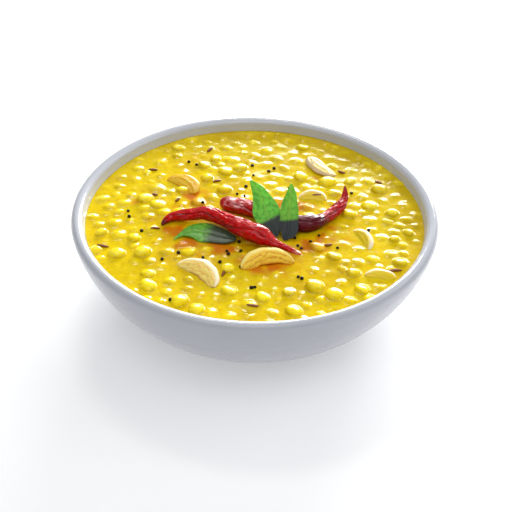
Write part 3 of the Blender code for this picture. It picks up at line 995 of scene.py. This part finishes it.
GOLDEN_FRY = garlic_finish(
    "golden_garlic", (230, 188, 50), (232, 174, 16), (240, 206, 84), (214, 130, 30), 0.7, 0.4
)
PALE_FRY = garlic_finish(
    "pale_garlic", (254, 240, 204), (255, 230, 124), (236, 166, 62), (184, 98, 34), 1.0
)
DEEP_FRY = garlic_finish(
    "deep_garlic", (255, 230, 130), (255, 214, 64), (214, 118, 18), (240, 132, 26), 0.7, 0.0, 0.5
)
CLEAR_FRY = garlic_finish(
    "clear_garlic", (214, 190, 154), (200, 172, 84), (150, 130, 104), (180, 130, 60), 0.4, 0.5
)
COATED = garlic_finish(
    "coated_garlic", (254, 238, 204), (244, 212, 60), (252, 232, 130), (212, 148, 36), 0.3, 0.95
)
# Slice, finish, where its waves begin, place of the middle, length from tip to tip, bend from
# tip to tip, width, thickness, where it is widest (0 is the middle), tilt towards the front,
# heading
for slice_name, slice_finish, phase, *sizes in (
    ("back_left", GOLDEN_FRY, 0.3, (-33.7, 25.8, 1.0), 17.8, 108, 8.6, 3.2, 0.15, 12, -41),
    ("front_left", PALE_FRY, 1.9, (-21.9, -42.2, 1.2), 21.8, 107, 8.8, 3.6, 0.0, 17, -41),
    ("front_mid", DEEP_FRY, 4.0, (5.4, -33.9, 2.8), 23.2, 98, 7.8, 4.6, -0.25, 32, 13),
    ("back_right", CLEAR_FRY, 2.6, (31.5, 41.0, 1.1), 21.0, 52, 7.8, 3.2, 0.42, -6, 125),
    ("right", COATED, 5.1, (49.8, -16.0, 0.2), 15.8, 99, 6.4, 3.0, 0.0, 28, -68),
    ("mid_right", COATED, 0.8, (27.4, 16.6, 0.5), 12.6, 96, 7.0, 3.4, 0.1, 24, -5),
    ("front_right", COATED, 3.3, (54.4, -42.8, 0.2), 13.6, 36, 6.2, 4.0, 0.0, 28, -5),
):
    garlic(slice_name, sizes, slice_finish, phase)

# ---- Mustard seeds ----
# Small black mustard seeds from the tempering, lying on the gravy singly, in pairs and in a
# scatter round the chillies. Each is a round seed with a slight dimple. They are one piece.

# x, y
MUSTARD = (
    (-34, 45), (-30, 43), (-2, 43), (9, 41), (6, 38), (-1, 34), (-5, 24), (-9, 17), (-5, 15),
    (-25, 8), (-59, 1), (-58, -3), (-51, -14), (46, 20), (52, -10), (-7, -20.5), (-6, -28),
    (-12, -28), (-33, -30), (-40, -35), (-22, -33), (-15, -36), (-5.5, -39), (18, -17),
    (25, -21), (37, -24), (19, -45), (20.6, -46), (-1, -53), (1, -52.4), (-34, -62), (16, 23),
    (-11, -30), (21, -25), (29, -15), (19.5, -23),
)
SEED_RADIUS = 0.82
SEED_SUNK = 0.42  # how far a seed's middle is above the gravy, as a share of its radius


def mustard_seeds():
    """Each seed is a sphere squeezed a little along a random axis, with a dimple on one side
    made by a bell curve, and sunk a little into the gravy under it."""
    rng = np.random.default_rng(21)
    rings, sides = 7, 12
    place = np.array(MUSTARD, float)
    place = place + rng.uniform(-0.3, 0.3, place.shape)
    radius = SEED_RADIUS * rng.uniform(0.84, 1.12, len(place))[:, None]
    polar = np.linspace(0, math.pi, rings + 2)[1:-1][:, None]
    turn = around(sides)
    out, up = np.sin(polar), np.cos(polar) * np.ones_like(turn)
    ball = np.stack([out * np.cos(turn), out * np.sin(turn), up], axis=2).reshape(-1, 3)
    ball = np.vstack([(0, 0, 1), ball, (0, 0, -1)])
    axis = unit(rng.normal(size=(len(place), 3)))
    facing = ball @ axis.T
    girth = (1 - 0.10 * facing**2 - 0.12 * np.exp(-((1 - facing) ** 2) / 0.03)).T
    height = dal_height(*place.T) + SEED_SUNK * radius[:, 0]
    centre = np.stack([*place.T, height], axis=1)
    corners = centre[:, None] + ball[None] * (girth * radius)[..., None]
    return joined(corners, rings, sides)


seed_coat = Finish("black_seed_coat")
pits = seed_coat.noise(0.35, detail=3.0)
seed_coat.skin(
    {
        "Base Color": seed_coat.mix(pits, (12, 7, 5), (34, 20, 12)),
        "Roughness": pits * 0.2 + 0.18,
        "Specular IOR Level": 0.3,
        "Normal": seed_coat.bump(pits, 0.12),
    }
)
make_piece("mustard_seeds", *mustard_seeds(), seed_coat, "mustard_seed")

# ---- Cumin ----
# Fried cumin seeds: slender, slightly bent, ridged lengthwise, lying on the gravy. One is on a
# garlic slice. They are one piece.

# x, y, heading in degrees, length, height above what it lies on
CUMIN = (
    (-24, 57, 58, 4.8, 0), (-51, 37, 5, 4.6, 0), (-19, 28, 22, 4.4, 0),
    (-48, 15, -20, 3.2, 0), (-37, 11, 60, 3.6, 0), (-67, -26, -8, 5.6, 0),
    (0, -65, 4, 5.2, 0), (29.4, 16.0, 3, 4.6, 1.2), (60, 30, -35, 4.2, 0),
    (61, -39.5, 8, 6.4, 0), (-45, -13, 24, 4.6, 0), (-13, -44, 70, 3.4, 0),
    (42.5, 39, -32, 4.6, 0.3), (33, -22, 20, 4.0, 0),
)
CUMIN_RADIUS = 0.62
CUMIN_LIE = 0.35  # how far a seed's middle is above what it lies on


def cumin_seeds():
    """Each seed is a spindle on a shallow arc: its radius falls to the ends by a power, and a
    cosine of nine times the angle round it makes its ridges. It lies along the straight line
    that fits the gravy under it best."""
    rng = np.random.default_rng(8)
    stations, sides = 13, 18
    step = np.linspace(-1, 1, stations)
    turn = around(sides)
    girth = (0.14 + 0.86 * (1 - step**2) ** 0.7)[:, None] * (1 + 0.09 * np.cos(9 * turn))
    seeds = []
    for x, y, heading, length, lift in CUMIN:
        toward = np.array([math.cos(math.radians(heading)), math.sin(math.radians(heading))])
        aside = np.array([-toward[1], toward[0]])
        bow = rng.uniform(-0.09, 0.09) * length
        arc = (1 - step[:, None] ** 2) * bow * aside
        path = (x, y) + step[:, None] * toward * length / 2 + arc
        under = dal_height(*path.T)
        under = np.polyval(np.polyfit(step, under, 1), step)
        spine = np.column_stack([path, under + CUMIN_LIE + lift])
        radius = CUMIN_RADIUS * rng.uniform(0.9, 1.12) * girth
        across = np.tile((*aside, 0), (stations, 1))
        seeds.append(sweep(spine, across, radius * np.cos(turn), radius * np.sin(turn)))
    corners = np.array([seed[0] for seed in seeds])
    straight = np.array([seed[1] for seed in seeds])
    return *joined(corners, stations, sides, 1), straight.reshape(-1, 3)


cumin_coat = Finish("brown_seed_coat")
seed_streak = cumin_coat.noise(0.6, cumin_coat.mark("straight", "Vector"), detail=3.0)
cumin_coat.skin(
    {
        "Base Color": cumin_coat.mix(seed_streak, (104, 50, 12), (158, 92, 34)),
        "Roughness": seed_streak * 0.2 + 0.35,
        "Normal": cumin_coat.bump(seed_streak, 0.1),
    }
)
cumin_corners, cumin_faces, cumin_straight = cumin_seeds()
make_piece(
    "cumin_seeds",
    cumin_corners,
    cumin_faces,
    cumin_coat,
    "cumin_seed",
    marks={"straight": cumin_straight},
)
